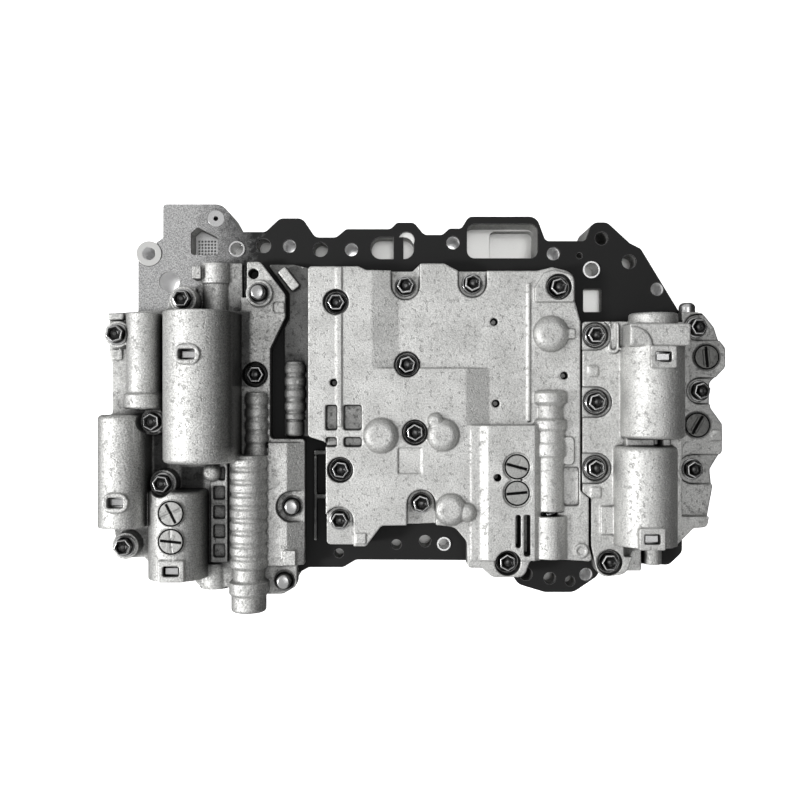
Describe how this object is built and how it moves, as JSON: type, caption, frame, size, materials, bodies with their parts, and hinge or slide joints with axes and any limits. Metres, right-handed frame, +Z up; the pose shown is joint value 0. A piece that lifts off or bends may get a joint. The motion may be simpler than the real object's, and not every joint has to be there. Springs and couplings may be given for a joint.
{
  "type": "transmission valve body",
  "caption": "Hydraulic valve body: cast lower half, drilled separator plate and bolted cast upper blocks with accumulator barrels and sliding valves.",
  "frame": {"origin": "centre of the bounding box at the case face the body lies on", "axes": "+X along the length towards the two-barrel casting, +Y towards the open inlet window, +Z up from the case face through the plate to the bolt heads"},
  "size_m": [0.3364, 0.2211, 0.0786],
  "materials": {
    "lower_casting": "die-cast, machined faces",
    "upper_casting": "die-cast, sandy",
    "plate": "black coated steel sheet",
    "bolts": "black oxide",
    "dowels": "ground",
    "orifice": "turned",
    "balls": "polished steel",
    "strainer": "pierced sheet",
    "pressure_plug": "zinc plated",
    "keys": "blanked steel",
    "end_plugs": "turned",
    "pistons": "turned and anodised",
    "rings": "filled fluoropolymer",
    "springs": "spring wire",
    "spools": "ground and anodised"
  },
  "bodies": {
    "housing": {"lower_body": "lower_casting", "separator_plate": "plate", "left_upper_body": "upper_casting", "centre_upper_body": "upper_casting", "right_upper_body": "upper_casting", "left_bolts": "bolts", "round_top_bolts": "bolts", "centre_bolts": "bolts", "right_bolts": "bolts", "hollow_dowels": "dowels", "orifice_plug": "orifice", "check_balls": "balls", "strainer_screen": "strainer", "pressure_plug": "pressure_plug", "window_keys": "keys", "captured_keys": "keys", "long_plug": "end_plugs", "long_spring": "springs", "slim_plug": "end_plugs", "slim_spring": "springs", "corner_plug": "end_plugs", "corner_spring": "springs", "dial_plug": "end_plugs", "dial_spring": "springs", "front_plug": "end_plugs", "front_spring": "springs", "rear_plug": "end_plugs", "rear_spring": "springs", "regulator_valve_plug": "end_plugs", "regulator_valve_spring": "springs", "relay_valve_plug": "end_plugs", "relay_valve_spring": "springs", "first_shift_valve_plug": "end_plugs", "first_shift_valve_spring": "springs", "second_shift_valve_plug": "end_plugs", "second_shift_valve_spring": "springs", "third_shift_valve_plug": "end_plugs", "third_shift_valve_spring": "springs"},
    "long_piston_body": {"long_piston": "pistons", "long_rings": "rings"},
    "slim_piston_body": {"slim_piston": "pistons", "slim_rings": "rings"},
    "corner_piston_body": {"corner_piston": "pistons", "corner_rings": "rings"},
    "dial_piston_body": {"dial_piston": "pistons", "dial_rings": "rings"},
    "front_piston_body": {"front_piston": "pistons", "front_rings": "rings"},
    "rear_piston_body": {"rear_piston": "pistons", "rear_rings": "rings"},
    "regulator_valve_body": {"regulator_valve": "spools"},
    "relay_valve_body": {"relay_valve": "spools"},
    "first_shift_valve_body": {"first_shift_valve": "spools"},
    "second_shift_valve_body": {"second_shift_valve": "spools"},
    "third_shift_valve_body": {"third_shift_valve": "spools"},
    "manual_valve_body": {"manual_valve": "spools"}
  },
  "joints": [
    {"name": "long_piston_slide", "type": "slide", "parent": "housing", "child": "long_piston_body", "axis": [0, 1, 0], "range_m": [0, 0.02], "stiffness_N_per_m": 2600, "springref_m": -0.003, "deforming": ["long_spring"]},
    {"name": "slim_piston_slide", "type": "slide", "parent": "housing", "child": "slim_piston_body", "axis": [0, 1, 0], "range_m": [0, 0.012], "stiffness_N_per_m": 900, "springref_m": -0.003, "deforming": ["slim_spring"]},
    {"name": "corner_piston_slide", "type": "slide", "parent": "housing", "child": "corner_piston_body", "axis": [0, -1, 0], "range_m": [0, 0.011], "stiffness_N_per_m": 2200, "springref_m": -0.003, "deforming": ["corner_spring"]},
    {"name": "dial_piston_slide", "type": "slide", "parent": "housing", "child": "dial_piston_body", "axis": [0, -1, 0], "range_m": [0, 0.012], "stiffness_N_per_m": 2300, "springref_m": -0.003, "deforming": ["dial_spring"]},
    {"name": "front_piston_slide", "type": "slide", "parent": "housing", "child": "front_piston_body", "axis": [0, 1, 0], "range_m": [0, 0.013], "stiffness_N_per_m": 2500, "springref_m": -0.003, "deforming": ["front_spring"]},
    {"name": "rear_piston_slide", "type": "slide", "parent": "housing", "child": "rear_piston_body", "axis": [0, -1, 0], "range_m": [0, 0.016], "stiffness_N_per_m": 2500, "springref_m": -0.003, "deforming": ["rear_spring"]},
    {"name": "regulator_valve_slide", "type": "slide", "parent": "housing", "child": "regulator_valve_body", "axis": [0, -1, 0], "range_m": [0, 0.006], "stiffness_N_per_m": 1400, "springref_m": -0.002, "deforming": ["regulator_valve_spring"]},
    {"name": "relay_valve_slide", "type": "slide", "parent": "housing", "child": "relay_valve_body", "axis": [0, -1, 0], "range_m": [0, 0.008], "stiffness_N_per_m": 700, "springref_m": -0.002, "deforming": ["relay_valve_spring"]},
    {"name": "first_shift_valve_slide", "type": "slide", "parent": "housing", "child": "first_shift_valve_body", "axis": [-1, 0, 0], "range_m": [0, 0.008], "stiffness_N_per_m": 800, "springref_m": -0.002, "deforming": ["first_shift_valve_spring"]},
    {"name": "second_shift_valve_slide", "type": "slide", "parent": "housing", "child": "second_shift_valve_body", "axis": [-1, 0, 0], "range_m": [0, 0.01], "stiffness_N_per_m": 800, "springref_m": -0.002, "deforming": ["second_shift_valve_spring"]},
    {"name": "third_shift_valve_slide", "type": "slide", "parent": "housing", "child": "third_shift_valve_body", "axis": [1, 0, 0], "range_m": [0, 0.008], "stiffness_N_per_m": 800, "springref_m": -0.002, "deforming": ["third_shift_valve_spring"]},
    {"name": "manual_valve_slide", "type": "slide", "parent": "housing", "child": "manual_valve_body", "axis": [1, 0, 0], "range_m": [0, 0.026]}
  ]
}
